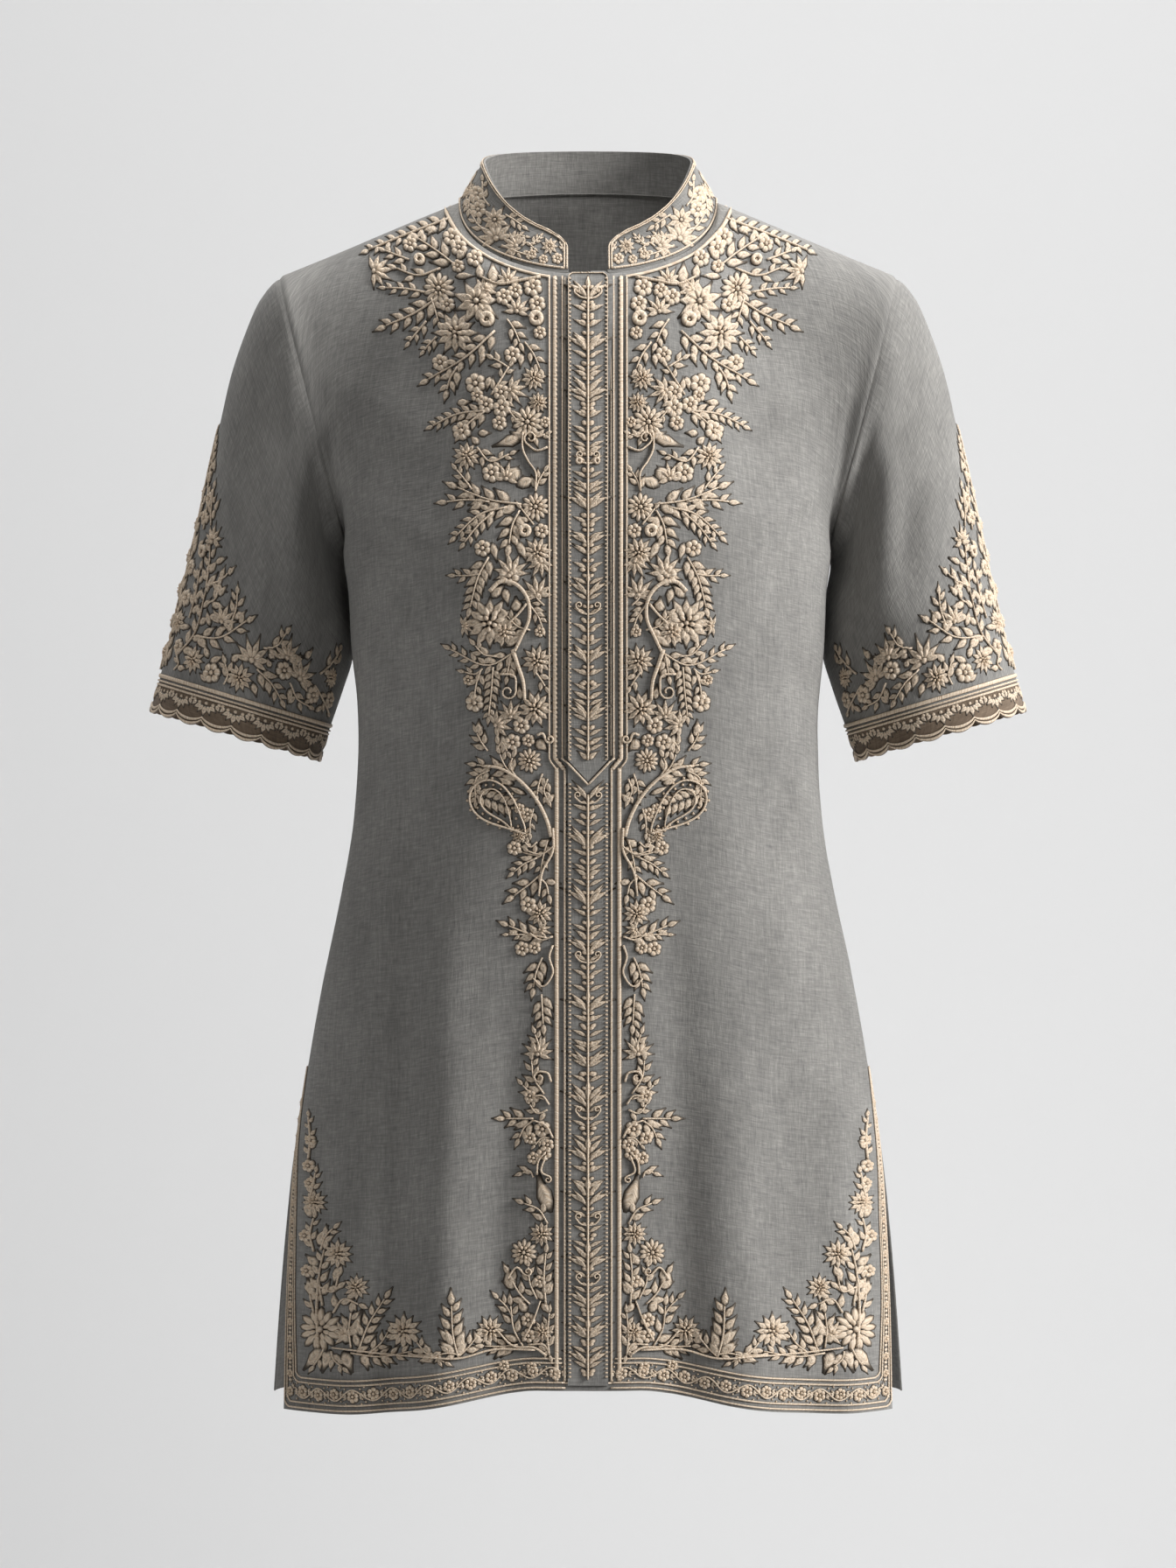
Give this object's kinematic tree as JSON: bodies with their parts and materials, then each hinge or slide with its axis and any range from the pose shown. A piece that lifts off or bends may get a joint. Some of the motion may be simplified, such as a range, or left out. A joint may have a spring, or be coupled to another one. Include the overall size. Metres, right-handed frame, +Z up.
{
  "type": "kurta tunic",
  "caption": "Short-sleeved linen kurta tunic with stand collar, embroidered placket, scalloped lace cuffs and side vents, in its worn hollow form.",
  "frame": {"origin": "between the shoulders on the centre line, at the height where the shoulder seams meet the neck", "axes": "+Z up, -Y out of the front, +X towards the wearer's left sleeve"},
  "size_m": [0.5568, 0.2438, 0.7982],
  "materials": {
    "linen": "grey linen, plain weave with slubs, matt",
    "cream_thread": "cream cotton embroidery thread and cord, soft sheen",
    "trim_lace": "grey linen edging embroidered with cream thread, scalloped"
  },
  "bodies": {
    "root": {"front_panel": "linen", "back_panel": "linen", "sleeve_left": "linen", "sleeve_right": "linen", "collar": "linen", "placket": "linen", "underlap": "linen", "centre_band": "linen", "cuff_trim_left": "trim_lace", "cuff_trim_right": "trim_lace", "cuff_cord_left": "cream_thread", "cuff_cord_right": "cream_thread", "collar_cord": "cream_thread", "neck_cord_left": "cream_thread", "neck_cord_right": "cream_thread", "neck_cord_back": "cream_thread", "placket_cord_left": "cream_thread", "placket_cord_right": "cream_thread", "border_cord_outer_left": "cream_thread", "border_cord_outer_right": "cream_thread", "border_cord_inner_left": "cream_thread", "border_cord_inner_right": "cream_thread"}
  },
  "joints": []
}
